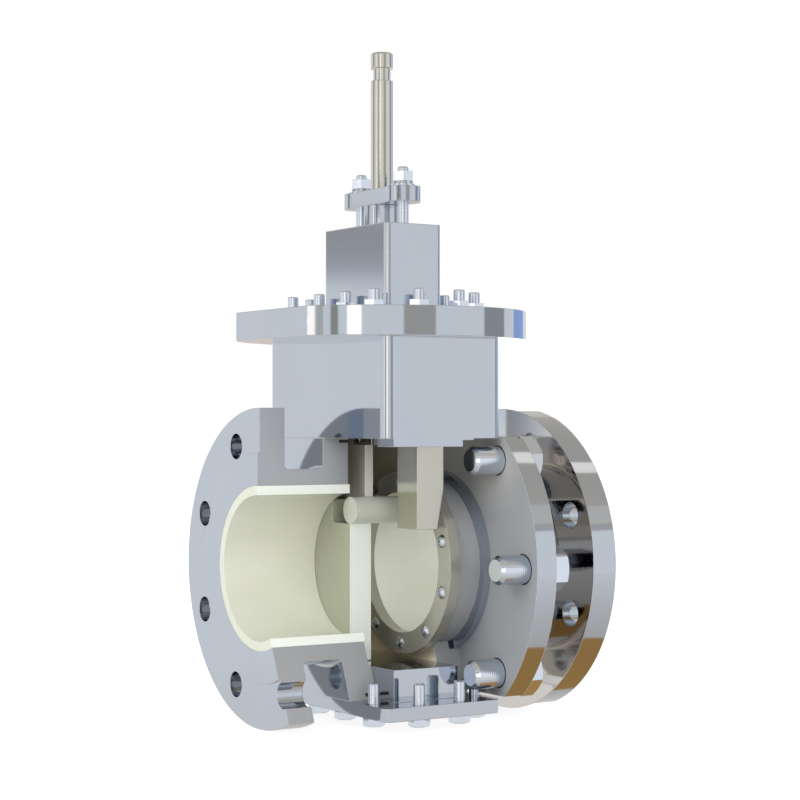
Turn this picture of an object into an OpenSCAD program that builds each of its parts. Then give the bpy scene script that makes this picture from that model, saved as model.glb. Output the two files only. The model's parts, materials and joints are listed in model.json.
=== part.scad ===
// Ceramic-lined slide valve, shown as a cutaway with the inlet side opened.
// Origin: centre of the outlet flange, in the plane of its rim, on the flow axis.
// +X is the flow direction, +Z points up the stem, -Y is the opened side. The
// raised sealing face stands out at +X. Millimetres.
// The pieces are laid out from the point where the stem axis meets the flow
// axis, and framed() moves them to the origin.

/* [Bore and end flanges] */
// Free bore of the ceramic liners
bore_d = 100; // [90:1:100]
// Wall of the ceramic liners
liner_wall = 6.4; // [5:0.2:7]
// Outside diameter of both end flanges
flange_d = 220; // [214:1:230]
// Thickness of the flange rims
flange_t = 19.6; // [16:0.2:24]
// From the bolt circle of the end flanges to their rim
flange_margin = 20; // [16:0.5:22]
// Bolt holes in the end flanges
flange_hole_d = 18; // [14:0.5:20]
// Number of bolt holes in each end flange
flange_holes = 8; // [4:4:8]
// Diameter of the raised sealing face
raised_d = 158; // [140:1:158]
// Height of the raised sealing face
raised_h = 1.6; // [1:0.1:3]
// Stem axis to the inlet sealing face
inlet_len = 100.2; // [94:0.2:120]
// Stem axis to the outlet sealing face
outlet_len = 125.6; // [118:0.2:150]
// Outside diameter of both pipe necks
neck_d = 135.2; // [128:0.2:140]

/* [Body] */
// Lower block, across the walls along the flow
block_x = 97; // [94:0.5:100]
// Upper housing, size along the flow
box_x = 94.4; // [92:0.2:96]
// Block and housing, size across the flow
box_y = 163.4; // [158:0.2:168]
// Upright edge rounding of block, housing and cover
corner_r = 7; // [4:0.5:9]
// Inner cavity along the flow
cavity_x = 56; // [54:0.5:60]
// Inner cavity across the flow
cavity_y = 121; // [121:0.5:126]
// Underside of the block
base_z = -90.5; // [-96:0.5:-88]
// Top of the wide lower block
block_top = 89; // [86:0.5:96]
// Top of the housing, under its flange
box_top = 157.8; // [157:0.2:166]
// Round joint flange on top of the housing
joint_d = 207; // [204:0.5:214]
// Width across the two flats of the joint flange
joint_flats = 180; // [150:1:190]
// Thickness of each of the two joint flanges
joint_t = 10; // [8:0.5:14]
// Outlet-side ear flange, full circle it is cut from
ear_d = 242; // [236:1:250]
// Ear flange thickness
ear_t = 20; // [16:0.5:20]
// Half height of the flat top and bottom of the ear flange
ear_flat = 89; // [84:0.5:89]
// Angle the opened sector stops at, measured from straight down
open_angle = 22.5; // [15:0.5:30]

/* [Gate] */
// Radius of the ceramic gate plate
gate_r = 59.2; // [58:0.1:59.5]
// Gate plate thickness
gate_t = 17.3; // [14:0.1:17.5]
// How far the plate centre sits under the flow axis when shut
gate_drop = 8.8; // [8:0.1:9]
// Clearance between plate and inlet seat
seat_gap = 0.2; // [0.1:0.05:0.4]
// Width of the hanger notch in the plate
notch_w = 49.6; // [40:0.2:54]
// Height of the notch floor above the flow axis
notch_z = 28.5; // [24:0.5:30]
// Diameter of the ceramic hanger pin
pin_d = 19; // [12:0.5:19]
// Thickness of the steel hanger plate
hanger_t = 6.6; // [5:0.2:8]
// Gate travel from shut to fully open
lift = 118; // [100:1:118]
// Guide bar size along the flow
guide_x = 21.5; // [16:0.5:21.6]
// Guide bar size across the flow
guide_y = 25.5; // [20:0.5:30]
// Height of the guide bar foot above the flow axis
guide_foot = 26.5; // [25:0.5:34]

/* [Stem and gland] */
// Stem diameter
stem_d = 16; // [14:0.5:16]
// Height of the stem top above the flow axis
stem_top = 363; // [340:1:380]
// Bonnet box size along the flow
bonnet_x = 46.4; // [44:0.2:60]
// Bonnet box size across the flow
bonnet_y = 86.4; // [82:0.2:96]
// Top of the bonnet box
bonnet_top = 238; // [236:0.5:260]
// Square section of one packing ring
packing_s = 5; // [4:0.5:5]
// Number of packing rings
packing_n = 3; // [2:1:3]
// From the bonnet box up to the gland flange
gland_rise = 16; // [12:0.5:24]
// Gland flange thickness
gland_t = 11; // [8:0.5:14]
// Gland studs, distance from the stem axis
gland_pitch = 28.4; // [28:0.2:30]
// End rounding of the gland flange
gland_r = 12.4; // [11:0.2:12.6]

/* [Outlet body] */
// Radius of the spigot inside the valve
spigot_r = 60; // [59.5:0.1:61]
// Radius of the spigot shoulder
shoulder_r = 66; // [64:0.5:67]
// Thickness of the flange bolted to the ears
back_flange_t = 16; // [12:0.5:18]
// Face of the seat retainer, from the stem axis
retainer_x = 15.4; // [14:0.1:16]
// Outside radius of the seat retainer
retainer_r = 65; // [63:0.5:66]
// Screws in the retainer
retainer_screws_n = 10; // [6:2:10]
// Bolt circle radius of the ear bolts
ear_bolt_r = 104; // [100:0.5:106]
// Ear bolt diameter
ear_bolt_d = 20; // [16:1:20]

/* [Bottom cover] */
// Cover plate thickness
cover_t = 9.2; // [7:0.2:14]
// Plug of the cover, along the flow
plug_x = 52; // [44:0.5:53]
// Plug of the cover, across the flow
plug_y = 116; // [100:0.5:117]
// Top of the plug
plug_top = -68.5; // [-74:0.5:-68.5]

/* [Fasteners] */
// Small stud and bolt diameter
stud_d = 8; // [6:0.5:8]
// Hexagon across the flats for the small fasteners
hex_af = 13; // [10:0.5:13]
// Height of the small nuts
nut_h = 6.8; // [5:0.2:8]
// Free thread standing above each gland nut
stud_show = 3.4; // [2:0.2:6]
// Height of the joint nuts
joint_nut_h = 5.2; // [4:0.2:6.8]
// Height of the joint studs above the bonnet flange
joint_stud_rise = 12.9; // [11:0.1:14]

/* [Hidden] */
$fn = 72;
fine = 32;
eps = 0.01;
far = 300;
thread_gap = 0.02;
sliding_gap = 0.1;
stem_gap = 0.05;
ring_gap = 0.1;
passing_gap = 0.5;
throat_gap = 0.1;
bore_r = bore_d / 2;
liner_r = bore_r + liner_wall;
flange_r = flange_d / 2;
hole_ring_r = flange_r - flange_margin;
neck_r = neck_d / 2;
neck_fillet = 3;
inlet_rim = -inlet_len + raised_h;
outlet_rim = outlet_len - raised_h;
wall_in = -cavity_x / 2;
wall_out = cavity_x / 2;
block_face = block_x / 2;
joint_z = box_top + joint_t;
bonnet_base = joint_z + joint_t;
seat_x = wall_in + 1.4;
gate_x0 = seat_x + seat_gap;
gate_x1 = gate_x0 + gate_t;
notch_r = 4;
pin_z = notch_z + pin_d / 2;
pin_x1 = retainer_x - 2.7;
hanger_gap = 0.1;
hanger_x0 = gate_x1 - 5;
hanger_w = notch_w - 4 * hanger_gap;
crosshead_z0 = 84;
crosshead_z1 = 95;
crosshead_y = 24;
crosshead_x0 = -16;
crosshead_x1 = 9;
hanger_top = crosshead_z1 - 3;
cross_pin_z = (crosshead_z0 + hanger_top) / 2;
cross_pin_y = 6;
cross_pin_tail = 0.5;
cross_pin_head = 2;
dowel_d = 4;
dowel_len = 20;
dowel_z = 34;
guide_x0 = gate_x1 + 0.2;
guide_top = box_top - 12;
guide_taper = 5;
guide_taper_h = 28;
guide_screw_z = [110, 138];
guide_screw_d = 6;
guide_head_d = 10;
guide_head_h = 6;
guide_head_af = 5;
guide_head_room = 0.5;
guide_seat = cavity_y / 2 - 14;
guide_screw_depth = 12;
// lower edge of the front wall over the opening: [from x, to x, height]
front_lips = [[-40.7, 14.6, 83.4], [14.6 - eps, 23.6, 87.8]];
stem_groove_d = 12.5;
stem_groove = [343, 352];
stem_tenon_d = 12;
chamber_top = crosshead_z1 + lift + 1;
packing_z = chamber_top + 4;
packing_r = stem_d / 2 + packing_s;
follower_z = packing_z + packing_n * packing_s;
follower_r = packing_r - 0.1;
follower_gap = 0.3;
gland_z = bonnet_top + gland_rise;
gland_top = gland_z + gland_t;
gland_waist = 1;
gland_stud_depth = 12;
washer_gap = 0.3;
washer_d = 17.4;
washer_t = 1.6;
spring_washer_d = 14;
spring_washer_t = 2.2;
spring_washer_cut = 1.2;
bonnet_wall = 5.3;
bonnet_end_wall = 6.3;
bonnet_corner = 4.5;
bush_wall = 1.6;
ring_in = 4;
ring_out = 8;
wall_row_x = 41;
wall_rows_y = [-56.4, -18.3, 18.3, 56.4];
wall_end_x = 16.3;
wall_end_y = 74.6;
cover_bolt_top = -76;
joint_stud_depth = 22;
cover_head_h = 5.3;
retainer_t = 8.6;
retainer_screw_r = 57.2;
retainer_screw_d = 4;
retainer_head_d = 9;
retainer_head_h = 2.3;
retainer_screw_end = 38.9;
head_dome = 0.72;
socket_share = 0.6;
spigot_step = 42.9;
nose_r = bore_r + 4;
ear_bolt_tip = 25.5;
ear_bolt_angles = [45, 90, 135, -45, -90, -135];
ear_head_af = 30;
ear_head_h = 12.5;
ear_chamfer = 2;
gasket_t = 2.2;
seal_w = 7.4;
top_seal_z = 85.7;
foot_seal_z = -88.1;
throat_x = plug_x + 2 * throat_gap;
throat_y = plug_y + 2 * throat_gap;
relief_r = retainer_r + 1;

// Piece to draw, or all of them

// Moves a piece from the stem-centred layout to the part's origin.
module framed() {
    translate([-outlet_rim, 0, 0]) children();
}

// Round bar along the flow, from x0 to x1.
module x_rod(r, x0, x1) {
    translate([x0, 0, 0]) rotate([0, 90, 0]) cylinder(r = r, h = x1 - x0);
}

// Pipe along the flow.
module x_tube(r_out, r_in, x0, x1) {
    difference() {
        x_rod(r_out, x0, x1);
        x_rod(r_in, x0 - 1, x1 + 1);
    }
}

// Flat outline drawn in Y and Z, made solid from x0 to x1.
module yz_solid(x0, x1) {
    translate([x0, 0, 0]) rotate([90, 0, 90]) linear_extrude(x1 - x0) children();
}

// Rectangle with true round corners.
module round_rect(x, y, r) {
    square([x - 2 * r, y], center = true);
    square([x, y - 2 * r], center = true);
    for (sx = [-1, 1], sy = [-1, 1])
        translate([sx * (x / 2 - r), sy * (y / 2 - r)]) circle(r = r, $fn = fine);
}

// Upright block with round corners, centred on the stem axis.
module round_block(x, y, z0, z1, r) {
    translate([0, 0, z0]) linear_extrude(z1 - z0) round_rect(x, y, r);
}

// Space that is taken away to show the inside: the front sector, up to height top.
module opened_sector(x0, x1, top) {
    yz_solid(x0, x1) polygon([[0, 0], [0, top], [-far, top], [-far, -far],
        [-far * sin(open_angle), -far * cos(open_angle)]]);
}

// Sector taken from one inlet-side piece.
module opened() {
    difference() {
        children();
        opened_sector(-far, far, far);
    }
}

// The opening in the housing: it stops at block_top, and lower at the front wall.
module housing_opening() {
    front = far - cavity_y / 2;
    difference() {
        union() {
            opened_sector(-block_face, far, block_top);
            translate([wall_in, -far, base_z - 1])
                cube([cavity_x, far - plug_y / 2, block_top - base_z + 1]);
        }
        for (lip = front_lips) translate([lip[0], -far - 1, lip[2]])
            cube([lip[1] - lip[0], front + 1, far]);
    }
}

// Round inner corner between a neck and a flange face at x, opening towards dir.
module neck_blend(x, dir) {
    translate([x, 0, 0]) rotate([0, 90 * dir, 0]) rotate_extrude() difference() {
        translate([neck_r - 1, -1]) square([neck_fillet + 1, neck_fillet + 1]);
        translate([neck_r + neck_fillet, neck_fillet]) circle(r = neck_fillet, $fn = fine);
    }
}

// Places children on a bolt circle in the Y and Z plane.
module ring_places(n, r, start = 0) {
    for (i = [0 : n - 1])
        rotate([start + i * 360 / n, 0, 0]) translate([0, 0, r]) children();
}

// Places children at the ear bolts, angles counted from straight up.
module ear_places() {
    for (a = ear_bolt_angles) rotate([a, 0, 0]) translate([0, 0, ear_bolt_r]) children();
}

// Places children at the twelve fasteners round the chamber wall, which hold the
// bonnet at the top and the cover at the bottom.
module wall_places() {
    for (sx = [-1, 1], y = wall_rows_y) translate([sx * wall_row_x, y, 0]) children();
    for (sx = [-1, 1], sy = [-1, 1])
        translate([sx * wall_end_x, sy * wall_end_y, 0]) children();
}

// Flat ring let into the wall of an opening of x by y, flush with its inside.
module wall_ring(z0, x, y) {
    translate([0, 0, z0]) linear_extrude(gasket_t) difference() {
        round_rect(cavity_x + 2 * seal_w, cavity_y + 2 * seal_w, corner_r);
        square([x, y], center = true);
    }
}

// Band of the bonnet seal, in the top of the housing.
module joint_band(h) {
    translate([0, 0, joint_z - gasket_t]) linear_extrude(h) difference() {
        round_rect(cavity_x + 2 * ring_out, cavity_y + 2 * ring_out, corner_r);
        round_rect(cavity_x + 2 * ring_in, cavity_y + 2 * ring_in, corner_r - ring_in);
    }
}

module top_wall_ring() { wall_ring(top_seal_z, cavity_x, cavity_y); }

module foot_wall_ring() { wall_ring(foot_seal_z, throat_x, throat_y); }

// Places children at the two gland studs.
module gland_places() {
    for (sy = [-1, 1]) translate([0, sy * gland_pitch, 0]) children();
}

// Hexagon block of a nut or bolt head, with chamfered corners on the top side.
module hex_block(af, h) {
    corner = af / cos(30) / 2;
    intersection() {
        cylinder(r = corner, h = h, $fn = 6);
        cylinder(r1 = corner + h, r2 = af / 2 * 1.02, h = h + corner - af / 2 * 1.02 + eps);
    }
}

// Hexagon nut standing on the plane z = 0.
module nut(af, h, thread) {
    difference() {
        hex_block(af, h);
        translate([0, 0, -1]) cylinder(d = thread, h = h + 2, $fn = fine);
    }
}

// Plain threaded rod with chamfered upper end.
module stud(d, z0, z1, chamfer = 1) {
    translate([0, 0, z0]) cylinder(d = d, h = z1 - z0 - chamfer, $fn = fine);
    translate([0, 0, z1 - chamfer])
        cylinder(d1 = d, d2 = d - 2 * chamfer, h = chamfer, $fn = fine);
}

// Round disc with two flats, the outline of the joint between housing and bonnet.
module joint_disc(z0, z1) {
    translate([0, 0, z0]) intersection() {
        cylinder(d = joint_d, h = z1 - z0);
        translate([-joint_flats / 2, -far / 2, 0]) cube([joint_flats, far, z1 - z0]);
    }
}

// Disc with flat top and bottom, the outline of the ear joint, on the flow axis.
module ear_disc(x0, x1) {
    intersection() {
        x_rod(ear_d / 2, x0, x1);
        translate([x0, -far / 2, -ear_flat]) cube([x1 - x0, far, 2 * ear_flat]);
    }
}

// Pipe flange with its raised face, at the end that points to dir.
module pipe_flange(rim, back, face) {
    x_rod(flange_r, min(rim, back), max(rim, back));
    x_rod(raised_d / 2, min(rim, face), max(rim, face));
}

module flange_drilling(x0, x1) {
    ring_places(flange_holes, hole_ring_r, 180 / flange_holes)
        x_rod(flange_hole_d / 2, x0, x1, $fn = fine);
}

module body_solid() {
    back = inlet_rim + flange_t;
    pipe_flange(inlet_rim, back, -inlet_len);
    x_rod(neck_r, back - 1, -block_face + 1);
    neck_blend(back, 1);
    neck_blend(-block_face, -1);
    round_block(block_x, box_y, base_z, block_top, corner_r);
    round_block(box_x, box_y, block_top - 1, box_top + 1, corner_r);
    joint_disc(box_top, joint_z);
    ear_disc(block_face - ear_t, block_face);
}

module body() {
    color("silver") framed() difference() {
        body_solid();
        x_rod(liner_r, -far, 0);
        flange_drilling(-far, inlet_rim + flange_t + eps);
        top_wall_ring();
        foot_wall_ring();
        // gate chamber, its throat at the foot, and the relief that clears the retainer
        translate([wall_in, -cavity_y / 2, plug_top])
            cube([cavity_x, cavity_y, joint_z - plug_top + 1]);
        translate([-throat_x / 2, -throat_y / 2, base_z - 1])
            cube([throat_x, throat_y, plug_top - base_z + 2]);
        x_rod(relief_r, retainer_x - 1, wall_out + eps);
        x_rod(spigot_r + sliding_gap, 0, far);
        x_rod(shoulder_r + sliding_gap, spigot_step - gasket_t, far);
        ear_places() x_rod(ear_bolt_d / 2 + thread_gap, ear_bolt_tip - 1, far, $fn = fine);
        wall_places() translate([0, 0, base_z - 1])
            cylinder(d = stud_d + 2 * thread_gap, h = cover_bolt_top - base_z + 1, $fn = fine);
        wall_places() translate([0, 0, joint_z - joint_stud_depth])
            cylinder(d = stud_d + 2 * thread_gap, h = far, $fn = fine);
        joint_band(far);
        for (sy = [-1, 1], z = guide_screw_z)
            translate([guide_x0 + guide_x / 2, sy * cavity_y / 2, z]) rotate([-90 * sy, 0, 0])
                translate([0, 0, -1]) cylinder(d = guide_screw_d + 2 * thread_gap,
                    h = guide_screw_depth + 1, $fn = fine);
        opened_sector(-far, -block_face + eps, flange_r + 1);
        housing_opening();
    }
}

module inlet_liner() {
    color("ivory") framed() opened() x_tube(liner_r, bore_r, -inlet_len, seat_x);
}

module outlet_body() {
    back = outlet_rim - flange_t;
    neck0 = block_face + back_flange_t;
    color("silver") framed() difference() {
        union() {
            ear_disc(block_face, neck0);
            x_rod(neck_r, neck0 - 1, back + 1);
            neck_blend(neck0, 1);
            neck_blend(back, -1);
            pipe_flange(outlet_rim, back, outlet_len);
            x_rod(spigot_r, retainer_x + retainer_t, block_face + 1);
            translate([spigot_step, 0, 0]) rotate([0, 90, 0])
                cylinder(r = shoulder_r, h = block_face - spigot_step + 1);
        }
        x_rod(nose_r, 0, far);
        x_rod(liner_r, spigot_step, far);
        flange_drilling(back - eps, far);
        ear_places() x_rod(ear_bolt_d / 2 + passing_gap, block_face - 1, neck0 + 1, $fn = fine);
        ring_places(retainer_screws_n, retainer_screw_r)
            x_rod(retainer_screw_d / 2 + thread_gap, 0, retainer_screw_end, $fn = fine);
    }
}

module outlet_liner() {
    color("ivory") framed() difference() {
        union() {
            x_rod(nose_r, retainer_x + retainer_t, spigot_step + 1);
            x_rod(liner_r, spigot_step, outlet_len);
        }
        x_rod(bore_r, 0, far);
    }
}

module spigot_gasket() {
    color("black") framed() difference() {
        x_tube(shoulder_r, spigot_r + sliding_gap, spigot_step - gasket_t, spigot_step);
        opened_sector(0, far, far);
    }
}

module seat_retainer() {
    color("gainsboro") framed() difference() {
        x_tube(retainer_r, bore_r, retainer_x, retainer_x + retainer_t);
        ring_places(retainer_screws_n, retainer_screw_r)
            x_rod(retainer_screw_d / 2 + passing_gap / 2, 0, far, $fn = fine);
    }
}

module button_screw(d, head_d, head_h, length) {
    socket_af = d * socket_share;
    dome_r = head_d * head_dome;
    difference() {
        union() {
            x_rod(d / 2, 0, length, $fn = fine);
            rotate([0, -90, 0]) rotate_extrude($fn = fine) intersection() {
                translate([0, head_h - dome_r]) circle(r = dome_r);
                square([head_d / 2, head_h]);
            }
        }
        translate([-head_h - 1, 0, 0]) rotate([0, 90, 0])
            cylinder(d = socket_af / cos(30), h = 1 + head_h * socket_share, $fn = 6);
    }
}

module retainer_screws() {
    color("white") framed() ring_places(retainer_screws_n, retainer_screw_r)
        translate([retainer_x, 0, 0])
            button_screw(retainer_screw_d, retainer_head_d, retainer_head_h,
                retainer_screw_end - retainer_x);
}

module ear_bolts() {
    head_x = block_face + back_flange_t;
    color("white") framed() ear_places() translate([head_x, 0, 0]) {
        rotate([0, 90, 0]) rotate([0, 0, 30]) hex_block(ear_head_af, ear_head_h);
        rotate([0, -90, 0]) stud(ear_bolt_d, -1, head_x - ear_bolt_tip, ear_chamfer);
    }
}

module gate_outline() {
    difference() {
        translate([0, -gate_drop]) circle(r = gate_r);
        translate([-notch_w / 2, notch_z + notch_r]) square([notch_w, far]);
        translate([-notch_w / 2 + notch_r, notch_z]) square([notch_w - 2 * notch_r, far]);
        for (s = [-1, 1]) translate([s * (notch_w / 2 - notch_r), notch_z + notch_r])
            circle(r = notch_r, $fn = fine);
    }
}

// Half the plate is taken away at the stem plane, as on the display valve.
module rear_half() {
    intersection() {
        children();
        translate([-far, 0, -far]) cube([2 * far, far, 2 * far]);
    }
}

module gate_plate() {
    color("ivory") framed() rear_half() difference() {
        yz_solid(gate_x0, gate_x1) gate_outline();
        gate_dowel_hole(dowel_d + 2 * thread_gap);
    }
}

module gate_dowel_hole(d) {
    translate([(hanger_x0 + gate_x1) / 2, (hanger_w - dowel_len) / 2, dowel_z])
        rotate([-90, 0, 0]) cylinder(d = d, h = dowel_len, $fn = fine);
}

module gate_dowel() { color("white") framed() gate_dowel_hole(dowel_d); }

module gate_pin() {
    color("ivory") framed() translate([0, 0, pin_z]) x_rod(pin_d / 2, gate_x0, pin_x1);
}

module hanger_plate() {
    foot = notch_z + hanger_gap;
    color("tan") framed() rear_half() difference() {
        yz_solid(hanger_x0, hanger_x0 + hanger_t) difference() {
            translate([0, (hanger_top + foot) / 2])
                round_rect(hanger_w, hanger_top - foot, notch_r + hanger_gap);
            translate([0, pin_z]) circle(d = pin_d + 2 * thread_gap);
        }
        gate_dowel_hole(dowel_d + 2 * thread_gap);
        translate([0, cross_pin_y, cross_pin_z])
            x_rod(dowel_d / 2 + thread_gap, -far, far, $fn = fine);
    }
}

module crosshead() {
    color("gray") framed() difference() {
        translate([crosshead_x0, -crosshead_y / 2, crosshead_z0])
            cube([crosshead_x1 - crosshead_x0, crosshead_y, crosshead_z1 - crosshead_z0]);
        translate([hanger_x0 - thread_gap, -far / 2, crosshead_z0 - 1])
            cube([hanger_t + 2 * thread_gap, far, hanger_top - crosshead_z0 + 1]);
        translate([0, 0, crosshead_z0 - 1])
            cylinder(d = stem_tenon_d + 2 * thread_gap, h = far, $fn = fine);
        translate([0, cross_pin_y, cross_pin_z])
            x_rod(dowel_d / 2 + thread_gap, -far, far, $fn = fine);
    }
}

module crosshead_pin() {
    color("white") framed() translate([0, cross_pin_y, cross_pin_z])
        x_rod(dowel_d / 2, crosshead_x0 - cross_pin_tail,
            hanger_x0 + hanger_t + cross_pin_head, $fn = fine);
}

module stem() {
    r = stem_d / 2;
    color("lightgray") framed() {
        translate([0, 0, crosshead_z0]) cylinder(d = stem_tenon_d, h = crosshead_z1 - crosshead_z0);
        translate([0, 0, crosshead_z1]) rotate_extrude() polygon([[0, 0], [r, 0],
            [r, stem_groove[0] - crosshead_z1], [stem_groove_d / 2, stem_groove[0] - crosshead_z1],
            [stem_groove_d / 2, stem_groove[1] - crosshead_z1], [r, stem_groove[1] - crosshead_z1],
            [r, stem_top - crosshead_z1 - 1], [r - 1, stem_top - crosshead_z1],
            [0, stem_top - crosshead_z1]]);
    }
}

module guide_bars() {
    x1 = guide_x0 + guide_x;
    color("lightgray") framed() for (sy = [-1, 1]) difference() {
        translate([0, sy * (cavity_y - guide_y) / 2, 0]) rotate([90, 0, 0])
            translate([0, 0, -guide_y / 2]) linear_extrude(guide_y)
                polygon([[guide_x0, guide_foot], [x1 - guide_taper, guide_foot],
                    [x1, guide_foot + guide_taper_h], [x1, guide_top], [guide_x0, guide_top]]);
        for (z = guide_screw_z) translate([guide_x0 + guide_x / 2, 0, z])
            rotate([-90 * sy, 0, 0]) {
                cylinder(d = guide_screw_d + 2 * passing_gap, h = cavity_y, $fn = fine);
                cylinder(d = guide_head_d + 2 * guide_head_room, h = guide_seat, $fn = fine);
            }
    }
}

module guide_screws() {
    socket_h = guide_head_h * socket_share;
    color("white") framed() for (sy = [-1, 1], z = guide_screw_z)
        translate([guide_x0 + guide_x / 2, 0, z]) rotate([-90 * sy, 0, 0]) {
            translate([0, 0, guide_seat - guide_head_h]) difference() {
                cylinder(d = guide_head_d, h = guide_head_h, $fn = fine);
                translate([0, 0, -1])
                    cylinder(d = guide_head_af / cos(30), h = socket_h + 1, $fn = 6);
            }
            translate([0, 0, guide_seat]) cylinder(d = guide_screw_d,
                h = cavity_y / 2 + guide_screw_depth - guide_seat, $fn = fine);
        }
}

module bottom_cover() {
    color("silver") framed() difference() {
        union() {
            round_block(box_x, box_y, base_z - cover_t, base_z, corner_r);
            translate([-plug_x / 2, -plug_y / 2, base_z - 1])
                cube([plug_x, plug_y, plug_top - base_z + 1]);
        }
        wall_places() translate([0, 0, -far])
            cylinder(d = stud_d + 2 * passing_gap, h = far + base_z + 1, $fn = fine);
    }
}

module cover_seal() {
    color("black") framed() opened() foot_wall_ring();
}

module chamber_seal() {
    color("black") framed() difference() {
        top_wall_ring();
        housing_opening();
    }
}

module cover_bolts() {
    color("white") framed() wall_places() {
        translate([0, 0, base_z - cover_t]) mirror([0, 0, 1]) hex_block(hex_af, cover_head_h);
        stud(stud_d, base_z - cover_t - 1, cover_bolt_top);
    }
}

module bonnet() {
    color("silver") framed() difference() {
        union() {
            joint_disc(joint_z, bonnet_base);
            round_block(bonnet_x, bonnet_y, bonnet_base - 1, bonnet_top, bonnet_corner);
        }
        translate([-bonnet_x / 2 + bonnet_wall, -bonnet_y / 2 + bonnet_end_wall, joint_z - 1])
            cube([bonnet_x - 2 * bonnet_wall, bonnet_y - 2 * bonnet_end_wall,
                chamber_top - joint_z + 1]);
        cylinder(r = stem_d / 2 + bush_wall, h = far);
        translate([0, 0, packing_z]) cylinder(r = packing_r, h = far);
        wall_places() translate([0, 0, joint_z - 1])
            cylinder(d = stud_d + 2 * passing_gap, h = joint_t + 2, $fn = fine);
        gland_places() translate([0, 0, bonnet_top - gland_stud_depth])
            cylinder(d = stud_d + 2 * thread_gap, h = gland_stud_depth + 1, $fn = fine);
    }
}

module joint_ring() {
    color("black") framed() joint_band(gasket_t);
}

module joint_studs() {
    color("white") framed() wall_places()
        stud(stud_d, joint_z - joint_stud_depth, bonnet_base + joint_stud_rise, 0.6);
}

module joint_nuts() {
    color("white") framed() wall_places() translate([0, 0, bonnet_base])
        nut(hex_af, joint_nut_h, stud_d + 2 * thread_gap);
}

module neck_bush() {
    color("goldenrod") framed() translate([0, 0, chamber_top]) difference() {
        cylinder(r = stem_d / 2 + bush_wall, h = packing_z - chamber_top);
        translate([0, 0, -1]) cylinder(r = stem_d / 2 + stem_gap, h = far);
    }
}

module packing_rings() {
    color("black") framed() for (i = [0 : packing_n - 1])
        translate([0, 0, packing_z + i * packing_s]) difference() {
            cylinder(r = packing_r, h = packing_s - ring_gap);
            translate([0, 0, -1]) cylinder(r = stem_d / 2 + stem_gap, h = packing_s + 2);
        }
}

module gland_follower() {
    color("silver") framed() translate([0, 0, follower_z]) difference() {
        cylinder(r = follower_r, h = gland_z - follower_z);
        translate([0, 0, -1]) cylinder(r = stem_d / 2 + follower_gap, h = far);
    }
}

module gland_flange() {
    color("silver") framed() difference() {
        translate([0, 0, gland_z]) linear_extrude(gland_t) {
            square([2 * (gland_r - gland_waist), 2 * gland_pitch], center = true);
            gland_places() circle(r = gland_r);
        }
        cylinder(r = stem_d / 2 + 2 * follower_gap, h = far);
        gland_places() cylinder(d = stud_d + 2 * passing_gap, h = far, $fn = fine);
    }
}

module gland_studs() {
    color("white") framed() gland_places() stud(stud_d, bonnet_top - gland_stud_depth,
        gland_top + washer_t + spring_washer_t + nut_h + stud_show);
}

module gland_washers() {
    color("white") framed() gland_places() translate([0, 0, gland_top]) difference() {
        cylinder(d = washer_d, h = washer_t);
        translate([0, 0, -1])
            cylinder(d = stud_d + 2 * washer_gap, h = washer_t + 2, $fn = fine);
    }
}

module gland_spring_washers() {
    color("dimgray") framed() gland_places() translate([0, 0, gland_top + washer_t]) difference() {
        cylinder(d = spring_washer_d, h = spring_washer_t);
        translate([0, 0, -1])
            cylinder(d = stud_d + 2 * washer_gap, h = spring_washer_t + 2, $fn = fine);
        translate([stud_d / 4, -spring_washer_cut / 2, -1])
            cube([spring_washer_d, spring_washer_cut, spring_washer_t + 2]);
    }
}

module gland_nuts() {
    color("white") framed() gland_places() translate([0, 0, gland_top + washer_t + spring_washer_t])
        nut(hex_af, nut_h, stud_d + 2 * thread_gap);
}

body();
inlet_liner();
outlet_body();
outlet_liner();
spigot_gasket();
seat_retainer();
retainer_screws();
ear_bolts();
gate_plate();
gate_pin();
hanger_plate();
gate_dowel();
crosshead();
crosshead_pin();
stem();
guide_bars();
guide_screws();
bottom_cover();
cover_seal();
chamber_seal();
cover_bolts();
bonnet();
joint_ring();
joint_studs();
joint_nuts();
neck_bush();
packing_rings();
gland_follower();
gland_flange();
gland_studs();
gland_washers();
gland_spring_washers();
gland_nuts();
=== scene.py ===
"""Looks of the ceramic slide valve: finishes, threads, floor, light and camera."""
import json
import logging
import math
from dataclasses import dataclass, field, replace
from enum import Enum
from typing import Callable, Iterable

import bmesh
import bpy
from mathutils import Matrix, Vector


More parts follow.
